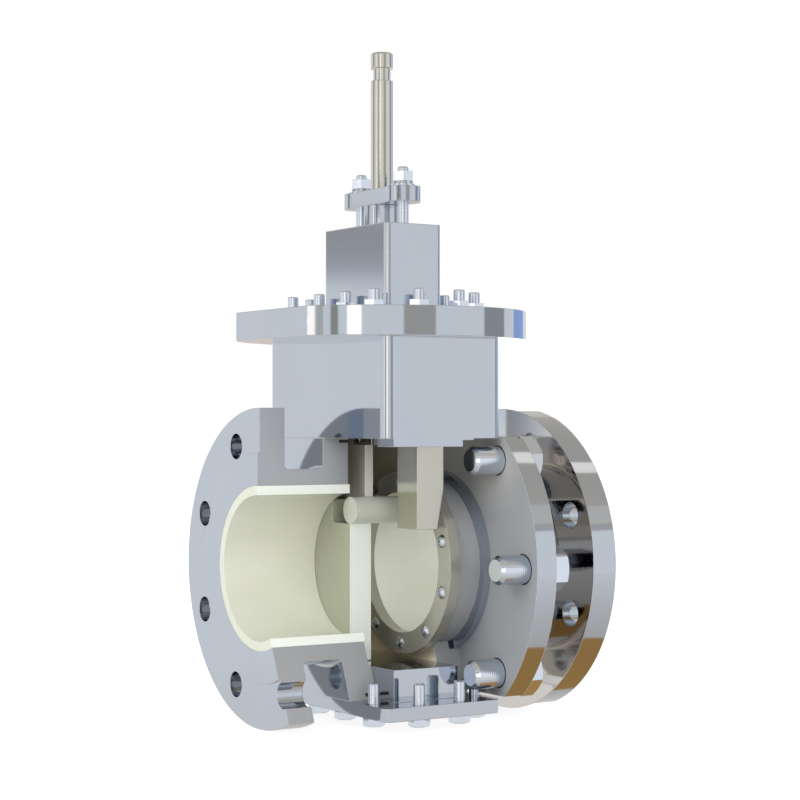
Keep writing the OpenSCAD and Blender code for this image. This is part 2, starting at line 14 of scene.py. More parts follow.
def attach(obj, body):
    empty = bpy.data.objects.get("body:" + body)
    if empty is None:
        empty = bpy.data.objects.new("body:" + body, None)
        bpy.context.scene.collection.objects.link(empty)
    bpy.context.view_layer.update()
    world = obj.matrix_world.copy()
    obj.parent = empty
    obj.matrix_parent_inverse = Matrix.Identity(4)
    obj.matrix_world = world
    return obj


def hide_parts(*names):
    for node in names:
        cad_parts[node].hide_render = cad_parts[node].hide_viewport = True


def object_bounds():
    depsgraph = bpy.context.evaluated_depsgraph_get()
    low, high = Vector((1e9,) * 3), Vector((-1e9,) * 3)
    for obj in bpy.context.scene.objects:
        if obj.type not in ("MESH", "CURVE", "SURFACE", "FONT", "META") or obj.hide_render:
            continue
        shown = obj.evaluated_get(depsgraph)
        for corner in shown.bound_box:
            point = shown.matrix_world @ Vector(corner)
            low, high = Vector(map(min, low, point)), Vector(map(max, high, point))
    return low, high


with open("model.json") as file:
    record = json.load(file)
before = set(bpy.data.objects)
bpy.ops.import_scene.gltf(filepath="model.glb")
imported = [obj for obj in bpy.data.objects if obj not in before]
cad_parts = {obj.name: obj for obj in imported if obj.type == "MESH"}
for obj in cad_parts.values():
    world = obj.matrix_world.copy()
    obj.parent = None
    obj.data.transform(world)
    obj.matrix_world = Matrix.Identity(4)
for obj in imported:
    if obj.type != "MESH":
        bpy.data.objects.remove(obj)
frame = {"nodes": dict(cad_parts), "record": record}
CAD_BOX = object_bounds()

logging.basicConfig(level=logging.INFO, format="%(message)s")
log = logging.getLogger("slide_valve")

MM = 0.001
STEM_X = -124.0
JOINT_Z = 167.8
# Places on the outlet body, from the stem axis towards the outlet
BARREL_END_X = 42.6
SHOULDER_X = 45.7
EAR_FACE_X = 46.5
OPEN_ANGLE = math.radians(22.5)
Color = tuple[float, float, float]
Socket = bpy.types.NodeSocket
GroupMaker = Callable[[], bpy.types.NodeTree]
# Colour, roughness and metallic of a finish on its way to the shader
Layers = tuple[Socket, Socket, object]
WHITE: Color = (1.0, 1.0, 1.0)

# Wear, grain, clouding and relief that all finishes share
WEAR_SCALE = 260.0
WEAR_GAIN = 6.0
WEAR_STOPS = ((0.3, 0.25), (0.7, 1.0))
COARSE_SCALE = 90.0
FINE_SHARE = 0.7
CLOUD_STOPS = ((0.3, 0.0), (0.7, 1.0))
LEAST_ROUGHNESS = 0.03
RELIEF_DEPTH = 0.0001
RELIEF_GAIN = 10.0


@dataclass(frozen=True)
class Zones:
    """Where corners stay sharp, and where the second looks of the finishes begin and end.

    Metres in the row frame. The two facing values are the least share of a face's normal that
    points along the flow, or out of the cut.
    """

    seam: float = JOINT_Z * MM
    seam_reach: float = 0.002
    root: float = (STEM_X + SHOULDER_X) * MM
    root_reach: float = 0.0042
    root_radius: float = 0.067
    chamber: float = STEM_X * MM
    chamber_reach: float = 0.0282
    chamber_top: float = 0.157
    chamber_foot: float = -0.0895
    ear_face: float = (STEM_X + EAR_FACE_X) * MM
    ear_face_reach: float = 0.0025
    barrel_end: float = (STEM_X + BARREL_END_X) * MM
    shade_foot: float = 0.035
    shade_rise: float = 0.030
    shade_side: float = 0.104
    shade_fade: float = 0.030
    flanks: tuple[float, float] = (-0.061, -0.018)
    flank_top: float = 0.108
    flank_fade: float = 0.034
    facing: float = 0.7
    sawn_facing: float = 0.5


ZONES = Zones()


class Mask(Enum):
    """Where a second look of a finish shows."""

    NONE = "none"
    SECTION = "section"
    HOUSING = "housing"
    SPIGOT = "spigot"


class Axis(Enum):
    """Direction of the grain of a machined face, as the stretch of the noise along X, Y and Z."""

    NONE = (1.0, 1.0, 1.0)
    ALONG_Z = (1.0, 1.0, 0.06)
    ROUND_Z = (0.06, 0.06, 1.0)


def new_group(name: str, inputs: dict[str, tuple[str, object]], outputs: dict[str, str]
              ) -> bpy.types.NodeTree:
    """Makes an empty shader node group with named sockets.

    Args:
        name: name of the group.
        inputs: socket name to its type and its value.
        outputs: socket name to its type.

    Returns:
        The group, with its input and output nodes inside.
    """
    tree = bpy.data.node_groups.new(name, "ShaderNodeTree")
    for label, (kind, value) in inputs.items():
        made = tree.interface.new_socket(name=label, in_out="INPUT", socket_type=kind)
        made.default_value = value
    for label, kind in outputs.items():
        tree.interface.new_socket(name=label, in_out="OUTPUT", socket_type=kind)
    tree.nodes.new("NodeGroupInput")
    tree.nodes.new("NodeGroupOutput")
    return tree


class Wiring:
    """Short calls that place and join nodes in one tree."""

    def __init__(self, tree: bpy.types.NodeTree) -> None:
        """Keeps the tree that the nodes go in."""
        self.tree = tree

    def node(self, kind: str, values: dict[object, object] | None = None, **props: object
             ) -> bpy.types.Node:
        """Adds one node.

        Args:
            kind: the node's type name.
            values: input socket name or number to a value, or to a socket to join.
            **props: the node's own settings.

        Returns:
            The node.
        """
        made = self.tree.nodes.new(kind)
        for key, value in props.items():
            setattr(made, key, value)
        for key, value in (values or {}).items():
            self.put(value, made.inputs[key])
        return made

    def group(self, maker: GroupMaker, **values: object) -> bpy.types.Node:
        """Places one of the shared effects.

        Args:
            maker: the method of Effects that builds it.
            **values: input socket name to its value.

        Returns:
            The group node.
        """
        return self.node("ShaderNodeGroup", values, node_tree=Effects.get(maker))

    def put(self, value: object, socket: Socket) -> None:
        """Fills an input.

        Args:
            value: a socket to join, or a plain value to set.
            socket: the input.
        """
        if isinstance(value, bpy.types.NodeSocket):
            self.tree.links.new(value, socket)
        else:
            socket.default_value = value

    def math(self, operation: str, *terms: object, clamp: bool = False) -> Socket:
        """Adds a Math node.

        Args:
            operation: the node's operation.
            *terms: its values or sockets.
            clamp: whether the result stays between 0 and 1.

        Returns:
            The result.
        """
        made = self.node("ShaderNodeMath", dict(enumerate(terms)), operation=operation,
                         use_clamp=clamp)
        return made.outputs[0]

    def mix(self, factor: object, low: object, high: object) -> Socket:
        """Mixes two colours.

        Args:
            factor: share of the second colour.
            low: the first colour, or its socket.
            high: the second colour, or its socket.

        Returns:
            The mixed colour.
        """
        made = self.node("ShaderNodeMix", {"Factor": factor}, data_type="RGBA")
        for value, place in ((low, 6), (high, 7)):
            plain = not isinstance(value, bpy.types.NodeSocket)
            self.put((*value, 1.0) if plain else value, made.inputs[place])
        return made.outputs[2]

    def ramp(self, value: object, stops: Iterable[tuple[float, float]]) -> Socket:
        """Adds a grey ramp.

        Args:
            value: where on the ramp.
            stops: the ramp's places and levels.

        Returns:
            The level.
        """
        made = self.node("ShaderNodeValToRGB", {0: value})
        stops = list(stops)
        while len(made.color_ramp.elements) < len(stops):
            made.color_ramp.elements.new(0.5)
        for element, (place, level) in zip(made.color_ramp.elements, stops):
            element.position = place
            element.color = (level, level, level, 1.0)
        return made.outputs[0]

    def noise(self, place: object, scale: object, detail: float = 4.0, rough: float = 0.55
              ) -> Socket:
        """Adds a noise.

        Args:
            place: the point.
            scale: the noise's scale, or its socket.
            detail: number of finer layers.
            rough: strength of the finer layers.

        Returns:
            The noise value.
        """
        made = self.node("ShaderNodeTexNoise", {"Vector": place, "Scale": scale,
                                                "Detail": detail, "Roughness": rough})
        return made.outputs[0]

    def place(self) -> Socket:
        """The point on the piece, in the row frame."""
        return self.node("ShaderNodeTexCoord").outputs["Object"]

    def split(self, vector: Socket) -> list[Socket]:
        """The X, Y and Z of a vector."""
        return list(self.node("ShaderNodeSeparateXYZ", {0: vector}).outputs)

    def facing(self) -> list[Socket]:
        """The X, Y and Z of the face's own normal."""
        return self.split(self.node("ShaderNodeNewGeometry").outputs["True Normal"])

    def radius(self, y: Socket, z: Socket) -> Socket:
        """Distance from the flow axis.

        Args:
            y: the point's Y.
            z: the point's Z.

        Returns:
            The distance.
        """
        flat = self.node("ShaderNodeCombineXYZ", {1: y, 2: z}).outputs[0]
        return self.node("ShaderNodeVectorMath", {0: flat}, operation="LENGTH").outputs["Value"]

    def gap(self, value: Socket, middle: float) -> Socket:
        """How far a value is from a middle one, either way."""
        return self.math("ABSOLUTE", self.math("SUBTRACT", value, middle))

    def ends(self) -> tuple[bpy.types.Node, bpy.types.Node]:
        """The group's own input and output nodes."""
        return (next(n for n in self.tree.nodes if n.bl_idname == "NodeGroupInput"),
                next(n for n in self.tree.nodes if n.bl_idname == "NodeGroupOutput"))

    def close(self, kind: str, shader: Socket) -> None:
        """Joins the shader to a new output node of the given type."""
        self.node(kind, {0: shader}).is_active_output = True


class Effects:
    """The node groups that the finishes share, each built once."""

    _made: dict[GroupMaker, bpy.types.NodeTree] = {}

    @classmethod
    def get(cls, maker: GroupMaker) -> bpy.types.NodeTree:
        """Finds an effect, and makes it the first time it is asked for.

        Args:
            maker: the method that builds it.

        Returns:
            The effect's node group.
        """
        if maker not in cls._made:
            cls._made[maker] = maker()
        return cls._made[maker]

    @staticmethod
    def edges() -> bpy.types.NodeTree:
        """Softened corners: a rounded normal, and a mask of where metal is rubbed bright.

        Corners stay sharp at the seam of the bonnet joint and at the root of the spigot.

        Returns:
            The node group.
        """
        tree = new_group("worn_edges", {"Radius": ("NodeSocketFloat", 0.0006),
                                        "Wear": ("NodeSocketFloat", 0.5)},
                         {"Mask": "NodeSocketFloat", "Normal": "NodeSocketVector"})
        w = Wiring(tree)
        start, end = w.ends()
        soft = w.node("ShaderNodeBevel", {"Radius": start.outputs["Radius"]}, samples=6)
        hard = w.node("ShaderNodeNewGeometry")
        place = w.place()
        x, y, z = w.split(place)
        root = w.math("MULTIPLY", w.math("LESS_THAN", w.gap(x, ZONES.root), ZONES.root_reach),
                      w.math("LESS_THAN", w.radius(y, z), ZONES.root_radius))
        beyond = w.math("GREATER_THAN", w.gap(z, ZONES.seam), ZONES.seam_reach)
        open_edge = w.math("SUBTRACT", beyond, root, clamp=True)
        normal = w.node("ShaderNodeMix", {"Factor": open_edge, 4: hard.outputs["Normal"],
                                          5: soft.outputs[0]}, data_type="VECTOR").outputs[1]
        dot = w.node("ShaderNodeVectorMath", {0: normal, 1: hard.outputs["Normal"]},
                     operation="DOT_PRODUCT")
        turn = w.math("SUBTRACT", 1.0, dot.outputs["Value"])
        patchy = w.ramp(w.noise(place, WEAR_SCALE), WEAR_STOPS)
        rubbed = w.math("MULTIPLY", w.math("MULTIPLY", turn, WEAR_GAIN, clamp=True), patchy)
        w.put(w.math("MULTIPLY", rubbed, start.outputs["Wear"], clamp=True), end.inputs["Mask"])
        w.put(normal, end.inputs["Normal"])
        return tree

    @staticmethod
    def grain() -> bpy.types.NodeTree:
        """Fine marks of grinding or casting, stretched along the way the tool ran.

        Returns:
            The node group.
        """
        tree = new_group("tool_marks", {"Scale": ("NodeSocketFloat", 900.0),
                                        "Stretch": ("NodeSocketVector", Axis.NONE.value)},
                         {"Height": "NodeSocketFloat", "Level": "NodeSocketFloat"})
        w = Wiring(tree)
        start, end = w.ends()
        pulled = w.node("ShaderNodeVectorMath", {0: w.place(), 1: start.outputs["Stretch"]},
                        operation="MULTIPLY").outputs[0]
        fine = w.noise(pulled, start.outputs["Scale"], detail=3.0)
        coarse = w.noise(pulled, COARSE_SCALE, detail=3.0)
        w.put(w.math("ADD", w.math("MULTIPLY", fine, FINE_SHARE),
                     w.math("MULTIPLY", coarse, 1.0 - FINE_SHARE)), end.inputs["Height"])
        w.put(fine, end.inputs["Level"])
        return tree

    @staticmethod
    def clouding() -> bpy.types.NodeTree:
        """Slow patches, as of handling and wiping, over a whole face.

        Returns:
            The node group.
        """
        tree = new_group("clouding", {"Scale": ("NodeSocketFloat", 14.0)},
                         {"Level": "NodeSocketFloat"})
        w = Wiring(tree)
        start, end = w.ends()
        level = w.noise(w.place(), start.outputs["Scale"], detail=5.0, rough=0.6)
        w.put(w.ramp(level, CLOUD_STOPS), end.inputs["Level"])
        return tree

    @staticmethod
    def section() -> bpy.types.NodeTree:
        """Mask of the two sawn planes that pass through the flow axis.

        Returns:
            The node group.
        """
        tree = new_group("sawn_faces", {"Reach": ("NodeSocketFloat", 0.0002)},
                         {"Mask": "NodeSocketFloat"})
        w = Wiring(tree)
        start, end = w.ends()
        _, y, z = w.split(w.place())
        upright = w.math("LESS_THAN", w.math("ABSOLUTE", y), start.outputs["Reach"])
        level = w.math("SUBTRACT", w.math("MULTIPLY", y, math.cos(OPEN_ANGLE)),
                       w.math("MULTIPLY", z, math.sin(OPEN_ANGLE)))
        slanted = w.math("LESS_THAN", w.math("ABSOLUTE", level), start.outputs["Reach"])
        front = w.math("LESS_THAN", w.facing()[1], -ZONES.sawn_facing)
        either = w.math("MAXIMUM", upright, slanted)
        w.put(w.math("MULTIPLY", either, front), end.inputs["Mask"])
        return tree

    @staticmethod
    def chamber() -> bpy.types.NodeTree:
        """Mask of the walls inside the gate chamber, from the seat to the ear joint, where a cream
        colour is painted on the steel as painted light, bounced from the ceramics.

        Returns:
            The node group.
        """
        # The walls inside the chamber get a cream colour painted on as bounce light from the
        # ceramics
        tree = new_group("chamber_painted_bounce", {"Half Width": ("NodeSocketFloat", 0.0607)},
                         {"Mask": "NodeSocketFloat"})
        w = Wiring(tree)
        start, end = w.ends()
        x, y, z = w.split(w.place())
        inside = w.math("LESS_THAN", w.gap(x, ZONES.chamber), ZONES.chamber_reach)
        across = w.math("LESS_THAN", w.math("ABSOLUTE", y), start.outputs["Half Width"])
        under = w.math("LESS_THAN", z, ZONES.chamber_top)
        over = w.math("GREATER_THAN", z, ZONES.chamber_foot)
        w.put(w.math("MULTIPLY", w.math("MULTIPLY", inside, across),
                     w.math("MULTIPLY", under, over)), end.inputs["Mask"])
        return tree

    @staticmethod
    def turned_face() -> bpy.types.NodeTree:
        """Masks of the outlet body.

        Mask is the blasted face of the ear flange with the barrel of the spigot. The second output
        is the part of that face in the shade of the housing, where a lighter colour is painted
        over the shade as painted light, and the third the faces between the two flanges, where a
        lighter, warmer tone is a painted reflection, full low down and fading out near the top.

        Returns:
            The node group.
        """
        tree = new_group("turned_faces", {"Barrel": ("NodeSocketFloat", 0.0632)},
                         {"Mask": "NodeSocketFloat", "Upper": "NodeSocketFloat",
                          "Flank Reflection": "NodeSocketFloat"})
        w = Wiring(tree)
        start, end = w.ends()
        x, y, z = w.split(w.place())
        across = w.facing()[0]
        front = w.math("MULTIPLY", w.math("LESS_THAN", across, -ZONES.facing),
                       w.math("LESS_THAN", w.gap(x, ZONES.ear_face), ZONES.ear_face_reach))
        barrel = w.math("MULTIPLY", w.math("LESS_THAN", w.radius(y, z), start.outputs["Barrel"]),
                        w.math("LESS_THAN", x, ZONES.barrel_end))
        w.put(w.math("MAXIMUM", front, barrel), end.inputs["Mask"])
        # Painted light: the lighter colour grows upwards and towards the housing, where its shade
        # falls on the ear face
        rise = w.math("DIVIDE", w.math("SUBTRACT", z, ZONES.shade_foot), ZONES.shade_rise,
                      clamp=True)
        near = w.math("DIVIDE", w.math("ADD", y, ZONES.shade_side), ZONES.shade_fade, clamp=True)
        w.put(w.math("MULTIPLY", front, w.math("MULTIPLY", rise, near)), end.inputs["Upper"])
        # Painted reflection: a lighter, warmer tone on the faces between the two flanges, full low
        # down and fading out near the top
        facing = w.math("GREATER_THAN", w.math("ABSOLUTE", across), ZONES.facing)
        between = w.math("MULTIPLY", w.math("GREATER_THAN", x, ZONES.flanks[0]),
                         w.math("LESS_THAN", x, ZONES.flanks[1]))
        below = w.math("DIVIDE", w.math("SUBTRACT", ZONES.flank_top, z), ZONES.flank_fade,
                       clamp=True)
        w.put(w.math("MULTIPLY", w.math("MULTIPLY", facing, between), below),
              end.inputs["Flank Reflection"])
        return tree


@dataclass(frozen=True)
class Finish:
    """One procedural finish, with its second looks where it has a mask."""

    name: str
    base: Color
    patch: Color
    edge: Color
    metallic: float = 1.0
    roughness: float = 0.2
    spread: float = 0.08
    grain: float = 900.0
    bump: float = 0.02
    axis: Axis = Axis.NONE
    clouds: float = 14.0
    radius: float = 0.0006
    wear: float = 0.5
    coat: float = 0.0
    coat_roughness: float = 0.1
    mask: Mask = Mask.NONE
    sawn: Color = (0.5, 0.5, 0.5)
    sawn_roughness: float = 0.3
    sawn_metallic: float = 0.4
    # Colour of the inside zone: on the chamber walls a cream painted as bounce light from the
    # ceramics, on the ear face the colour of its blasted finish
    inside_tone_and_bounce: Color = (0.80, 0.73, 0.56)
    inner_roughness: float = 0.4
    inner_metallic: float = 0.15
    # Painted light: a lighter colour laid over the ear face where the housing shades it
    shade_lift: Color = (0.50, 0.49, 0.46)
    # Painted reflection: a lighter, warmer tone on the faces between the two flanges, in place of
    # what they mirror
    flank_reflection: Color = (0.62, 0.60, 0.58)

    def add_inside(self, w: Wiring, color: Socket, rough: Socket) -> Layers:
        """Lays the look of the inside faces over the finish: the blasted ear face, a cream colour
        painted on the chamber walls as bounce light, a lighter colour painted over the shade on
        the ear face, and a painted reflection on the faces between the flanges.

        Args:
            w: the material's wiring.
            color: the colour so far.
            rough: the roughness so far.

        Returns:
            The new colour, roughness and metallic.
        """
        zone = w.group(Effects.chamber if self.mask is Mask.HOUSING else Effects.turned_face)
        inside = zone.outputs["Mask"]
        color = w.mix(inside, color, self.inside_tone_and_bounce)
        rough = w.math("ADD", rough, w.math("MULTIPLY", inside,
                                            self.inner_roughness - self.roughness))
        metal = w.math("MULTIPLY_ADD", inside, self.inner_metallic - self.metallic,
                       self.metallic)
        if self.mask is Mask.SPIGOT:
            # Painted light over the shaded ear face, then a painted reflection on the faces
            # between the flanges
            color = w.mix(zone.outputs["Upper"], color, self.shade_lift)
            color = w.mix(zone.outputs["Flank Reflection"], color, self.flank_reflection)
        return color, rough, metal

    def add_section(self, w: Wiring, color: Socket, rough: Socket, metal: object) -> Layers:
        """Lays the look of the sawn planes over the finish.

        Args:
            w: the material's wiring.
            color: the colour so far.
            rough: the roughness so far.
            metal: the metallic so far, a value or a socket.

        Returns:
            The new colour, roughness and metallic.
        """
        cut = w.group(Effects.section).outputs["Mask"]
        color = w.mix(cut, color, self.sawn)
        rough = w.math("ADD", rough, w.math("MULTIPLY", cut,
                                            self.sawn_roughness - self.roughness))
        if self.metallic > 0.0:
            drop = w.math("MULTIPLY", cut, w.math("SUBTRACT", self.sawn_metallic, metal))
            metal = w.math("ADD", metal, drop, clamp=True)
        return color, rough, metal

    def material(self) -> bpy.types.Material:
        """Builds the finish.

        Returns:
            A material whose colour, roughness and relief all vary over the surface.
        """
        made = bpy.data.materials.new(self.name)
        made.use_nodes = True
        w = Wiring(made.node_tree)
        shader = next(n for n in made.node_tree.nodes if n.bl_idname == "ShaderNodeBsdfPrincipled")
        worn = w.group(Effects.edges, Radius=self.radius, Wear=self.wear)
        marks = w.group(Effects.grain, Scale=self.grain, Stretch=self.axis.value)
        cloud = w.group(Effects.clouding, Scale=self.clouds).outputs["Level"]
        color = w.mix(cloud, self.base, self.patch)
        rough = w.math("ADD", w.math("MULTIPLY", cloud, self.spread),
                       w.math("MULTIPLY", marks.outputs["Level"], self.spread))
        rough = w.math("ADD", rough, self.roughness - self.spread)
        metal: object = self.metallic
        # Inside looks: painted bounce light in the chamber, painted light over the ear face's
        # shade, and a painted reflection between the flanges
        if self.mask in (Mask.HOUSING, Mask.SPIGOT):
            color, rough, metal = self.add_inside(w, color, rough)
        if self.mask is not Mask.NONE:
            color, rough, metal = self.add_section(w, color, rough, metal)
        w.put(w.mix(worn.outputs["Mask"], color, self.edge), shader.inputs["Base Color"])
        w.put(w.math("MAXIMUM", rough, LEAST_ROUGHNESS), shader.inputs["Roughness"])
        w.put(metal, shader.inputs["Metallic"])
        shader.inputs["Coat Weight"].default_value = self.coat
        shader.inputs["Coat Roughness"].default_value = self.coat_roughness
        relief = w.node("ShaderNodeBump", {"Strength": self.bump * RELIEF_GAIN,
                                           "Distance": RELIEF_DEPTH,
                                           "Height": marks.outputs["Height"],
                                           "Normal": worn.outputs["Normal"]})
        w.put(relief.outputs[0], shader.inputs["Normal"])
        return made


POLISHED = Finish("cast_steel", (0.49, 0.535, 0.60), (0.475, 0.52, 0.585), (0.80, 0.82, 0.86),
                  roughness=0.07, spread=0.02, bump=0.003, radius=0.0008, mask=Mask.SECTION,
                  sawn=(0.36, 0.375, 0.395))
GLAZED = Finish("ceramic", (0.67, 0.68, 0.565), (0.645, 0.655, 0.54), (0.80, 0.82, 0.74),
                metallic=0.0, spread=0.05, grain=700.0, bump=0.006, wear=0.8, coat=0.35,
                coat_roughness=0.06, mask=Mask.SECTION, sawn=(0.79, 0.82, 0.75),
                sawn_roughness=0.4)

FINISHES = {finish.name: finish for finish in (
    POLISHED,
    # The chamber walls inside the housing get a cream colour painted on as bounce light
    replace(POLISHED, name="housing_steel", mask=Mask.HOUSING),
    # Blasted ear face, with painted light over the housing's shade on it and a painted reflection
    # on the faces between the flanges
    replace(POLISHED, name="spigot_steel", mask=Mask.SPIGOT, inside_tone_and_bounce=(0.33, 0.34, 0.352),
            inner_roughness=0.5),
    Finish("machined_steel", (0.66, 0.66, 0.65), (0.60, 0.60, 0.59), (0.90, 0.90, 0.90),
           roughness=0.24, bump=0.015, axis=Axis.ALONG_Z, radius=0.0008),
    # The olive tint in this steel's colour is a painted reflection of the cream ceramics it faces
    Finish("turned_steel_reflection_tint", (0.43, 0.42, 0.36), (0.40, 0.39, 0.34), (0.70, 0.70, 0.66),
           metallic=0.6, roughness=0.22, bump=0.003),
    Finish("bar_steel", (0.53, 0.52, 0.465), (0.50, 0.49, 0.44), (0.88, 0.88, 0.86),
           roughness=0.16, bump=0.006, axis=Axis.ALONG_Z),
    Finish("sawn_plate", (0.60, 0.585, 0.52), (0.56, 0.545, 0.48), (0.88, 0.87, 0.82),
           metallic=0.5, roughness=0.24, bump=0.006, mask=Mask.SECTION,
           sawn=(0.74, 0.72, 0.64), sawn_roughness=0.45, sawn_metallic=0.2),
    Finish("ground_steel", (0.60, 0.60, 0.575), (0.55, 0.55, 0.53), (0.88, 0.88, 0.86),
           roughness=0.08, spread=0.03, bump=0.004, axis=Axis.ROUND_Z, radius=0.0008),
    Finish("bright_fastener", (0.66, 0.72, 0.82), (0.62, 0.68, 0.78), (0.92, 0.94, 0.97),
           roughness=0.1, bump=0.006, radius=0.0004),
    Finish("spring_steel", (0.58, 0.62, 0.68), (0.30, 0.32, 0.35), (0.85, 0.87, 0.9),
           clouds=240.0, radius=0.0003),
    GLAZED,
    # Painted light: a lighter copy of the ceramic for the outlet liner, whose bore is brightly lit
    replace(GLAZED, name="lit_outlet_ceramic", base=(0.76, 0.78, 0.69), patch=(0.72, 0.74, 0.65),
            edge=(0.84, 0.86, 0.80), roughness=0.16, coat=0.5, coat_roughness=0.05,
            mask=Mask.NONE),
    replace(GLAZED, name="pin_ceramic", base=(0.52, 0.53, 0.45), patch=(0.49, 0.50, 0.42),
            edge=(0.72, 0.74, 0.66), roughness=0.18, mask=Mask.NONE),
    # Painted shade: the gate plate is darker than the other ceramics, standing in for the shade it
    # lies in behind the bore; its sawn face keeps a light colour
    replace(GLAZED, name="shaded_gate_ceramic", base=(0.37, 0.375, 0.28), patch=(0.34, 0.345, 0.26),
            edge=(0.84, 0.86, 0.78), sawn=(0.74, 0.77, 0.70), sawn_roughness=0.3),
    Finish("rubber", (0.016, 0.016, 0.017), (0.024, 0.024, 0.024), (0.05, 0.05, 0.05),
           metallic=0.0, roughness=0.6, bump=0.04),
    Finish("graphite", (0.05, 0.05, 0.055), (0.035, 0.035, 0.04), (0.12, 0.12, 0.13),
           metallic=0.2, roughness=0.5, bump=0.05),
    Finish("bronze", (0.55, 0.38, 0.16), (0.46, 0.31, 0.13), (0.75, 0.58, 0.3),
           roughness=0.28, bump=0.015),
)}

# Nodes with a closer look than the finish of their slot
CLOSER = {"body": "housing_steel", "outlet_body": "spigot_steel", "gate_plate": "shaded_gate_ceramic",
          "seat_retainer": "turned_steel_reflection_tint", "hanger_plate": "sawn_plate",
          "guide_bars": "bar_steel", "gate_pin": "pin_ceramic",
          "outlet_liner": "lit_outlet_ceramic", "gland_follower": "cast_steel"}


class Palette:
    """Makes each finish once, and puts it on pieces."""

    def __init__(self) -> None:
        """Starts with nothing made."""
        self.made: dict[str, bpy.types.Material] = {}

    def get(self, name: str) -> bpy.types.Material:
        """Finds a finish's material, and makes it the first time it is asked for.

        Args:
            name: the finish.

        Returns:
            The material.
        """
        if name not in self.made:
            self.made[name] = FINISHES[name].material()
        return self.made[name]

    def dress(self, piece: bpy.types.Object, name: str) -> None:
        """Gives the whole piece one finish.

        Args:
            piece: the object.
            name: the finish.
        """
        slots = piece.data.materials
        if not slots:
            slots.append(None)
        for i in range(len(slots)):
            slots[i] = self.get(name)
        log.info("%s: %s", piece.name, name)


def dress_nodes(palette: Palette) -> None:
    """Gives each CAD node its closer look, or else the finish of its slot in the record.

    Args:
        palette: the finishes.
    """
    for row in frame["record"]["subparts"]:
        palette.dress(frame["nodes"][row["node"]],
                      CLOSER.get(row["node"], row["material_slot"]))


def add_skin(bm: bmesh.types.BMesh, rings: list[list[bmesh.types.BMVert]]) -> None:
    """Joins rings of points into one closed skin with a flat face at each end.

    Args:
        bm: the mesh under construction.
        rings: the rings, all with the same number of points.
    """
    count = len(rings[0])
    for low, high in zip(rings, rings[1:]):
        for k in range(count):
            n = (k + 1) % count
            bm.faces.new((low[k], low[n], high[n], high[k]))
    bm.faces.new(list(reversed(rings[0])))
    bm.faces.new(rings[-1])


def add_mesh(name: str, bm: bmesh.types.BMesh) -> bpy.types.Object:
    """Makes an object of a mesh.

    Args:
        name: the object's name.
        bm: the finished mesh, which is freed.

    Returns:
        The new object, linked to the scene.
    """
    data = bpy.data.meshes.new(name)
    bm.to_mesh(data)
    bm.free()
    return add_object(name, data)


def add_object(name: str, data: bpy.types.ID) -> bpy.types.Object:
    """Makes an object of any data.

    Args:
        name: the object's name.
        data: its mesh, lamp or camera.

    Returns:
        The new object, linked to the scene.
    """
    made = bpy.data.objects.new(name, data)
    bpy.context.scene.collection.objects.link(made)
    return made


def make_piece(name: str, bm: bmesh.types.BMesh, sharp: float = 35.0) -> bpy.types.Object:
    """Turns a mesh in millimetres into a piece in metres.

    Args:
        name: the piece's name.
        bm: the finished mesh, which is freed.
        sharp: angle in degrees above which an edge stays sharp.

    Returns:
        The new object, linked to the scene.
    """
    bmesh.ops.scale(bm, vec=(MM, MM, MM), verts=bm.verts)
    bmesh.ops.recalc_face_normals(bm, faces=bm.faces)
    for face in bm.faces:
        face.smooth = True
    for edge in bm.edges:
        if len(edge.link_faces) == 2 and edge.calc_face_angle() > math.radians(sharp):
            edge.smooth = False
    return add_mesh(name, bm)


@dataclass
class Thread:
    """A rod with a real helical thread, built as one closed skin. Millimetres."""

    diameter: float
    pitch: float
    start: float
    end: float
    depth_share: float
    chamfer: float = 1.0
    sides: int = 20
    steps: int = 4
    least_steps: int = 8
    crest_share: float = 0.12
    flank_share: float = 0.72

    def radius(self, height: float, angle: float) -> float:
        """Radius of the thread.

        Args:
            height: place along the rod.
            angle: place round the rod.

        Returns:
            The radius there.
        """
        depth = self.depth_share * self.pitch
        phase = (height / self.pitch - angle / math.tau) % 1.0
        wave = abs(2.0 * phase - 1.0)
        cut = max(0.0, min(1.0, (wave - self.crest_share) / self.flank_share))
        room = min(height - self.start, self.end - height)
        return min(self.diameter / 2 - depth * cut,
                   self.diameter / 2 - self.chamfer + max(0.0, room))

    def build(self, bm: bmesh.types.BMesh, place: Matrix) -> None:
        """Adds the rod.

        Args:
            bm: the mesh under construction.
            place: from the rod's own frame, axis Z, to the row frame in millimetres.
        """
        turns = (self.end - self.start) / self.pitch
        count = max(self.least_steps, round(turns * self.steps))
        rings = []
        for i in range(count + 1):
            z = self.start + (self.end - self.start) * i / count
            rings.append([bm.verts.new(place @ Vector((
                self.radius(z, a) * math.cos(a), self.radius(z, a) * math.sin(a), z)))
                for a in (math.tau * k / self.sides for k in range(self.sides))])
        add_skin(bm, rings)


@dataclass
class HexHead:
    """A bolt head with a turned chamfer on its free side. Millimetres."""

    flats: float
    height: float
    arc: int = 8
    turned_share: float = 0.96
    turned_slope: float = 0.58

    def build(self, bm: bmesh.types.BMesh, place: Matrix) -> None:
        """Adds the head, standing on the plane z = 0 and rising along +Z.

        Args:
            bm: the mesh under construction.
            place: from the head's own frame to the row frame in millimetres.
        """
        turned = self.flats / 2 * self.turned_share
        rings: list[list[Vector]] = [[], [], [], []]
        top = Vector((0, 0, self.height))
        count = 6 * self.arc
        for k in range(count):
            a = math.tau * k / count
            off = (a + math.pi / 6) % (math.pi / 3) - math.pi / 6
            hexagon = self.flats / 2 / math.cos(off)
            drop = (hexagon - turned) * self.turned_slope
            direction = Vector((math.cos(a), math.sin(a), 0.0))
            rings[0].append(direction * hexagon)
            rings[1].append(direction * hexagon + Vector((0, 0, self.height - drop)))
            rings[2].append(direction * turned + top)
            rings[3].append(direction * turned * 0.5 + top)
        add_skin(bm, [[bm.verts.new(place @ p) for p in ring] for ring in rings])


